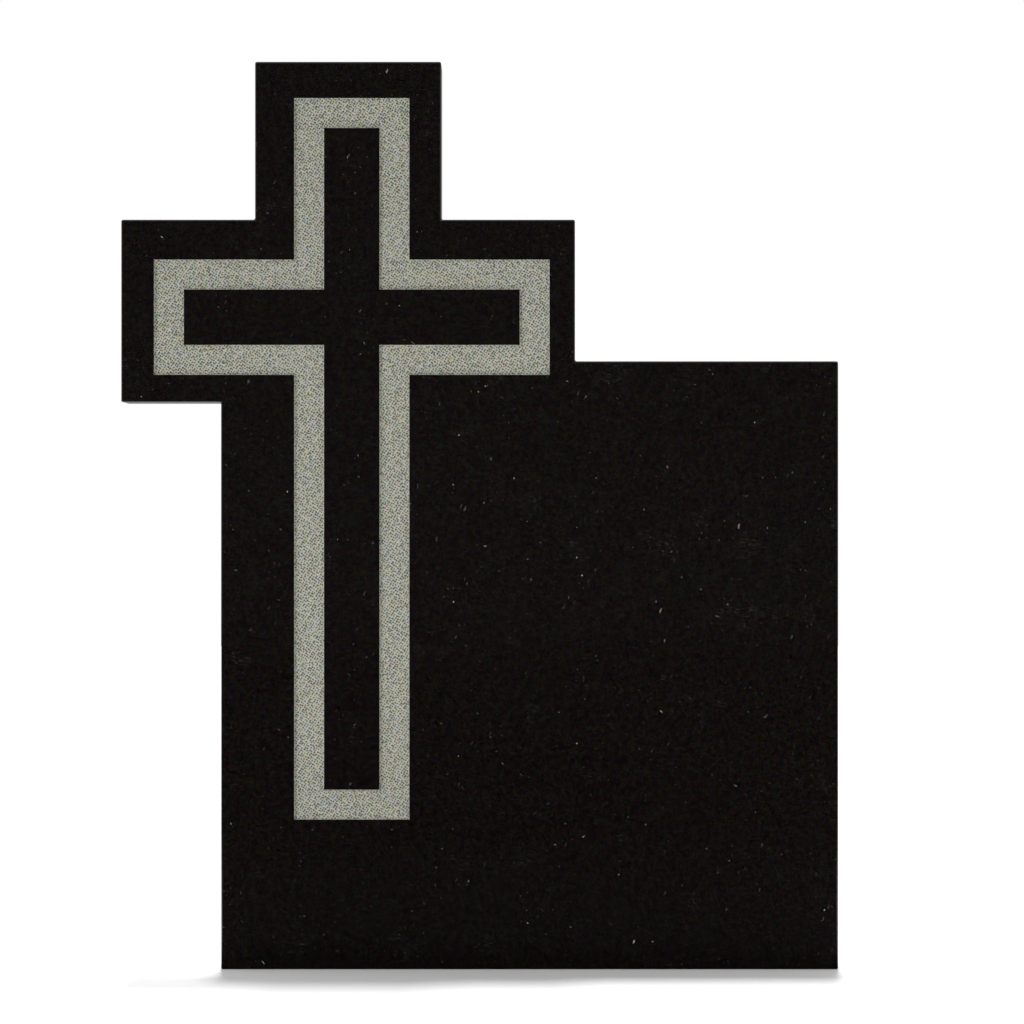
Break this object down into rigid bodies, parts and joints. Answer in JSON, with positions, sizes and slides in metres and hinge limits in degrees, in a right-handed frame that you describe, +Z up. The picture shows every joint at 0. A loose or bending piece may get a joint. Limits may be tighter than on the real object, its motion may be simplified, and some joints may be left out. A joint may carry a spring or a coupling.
{
  "type": "grave monument",
  "caption": "Upright black granite headstone slab whose upper left grows into a Latin cross, with a sunk blasted line following the cross and a plain lettering field.",
  "frame": {"origin": "middle of the block's underside, at half the thickness of the stone", "axes": "+Z up the stone, the polished front with the cross line faces -Y, and +X is to the viewer's right, away from the overhanging arm"},
  "size_m": [0.79, 0.1, 1],
  "materials": {
    "polished_granite": "polished"
  },
  "bodies": {
    "root": {"headstone": "polished_granite"}
  },
  "joints": []
}
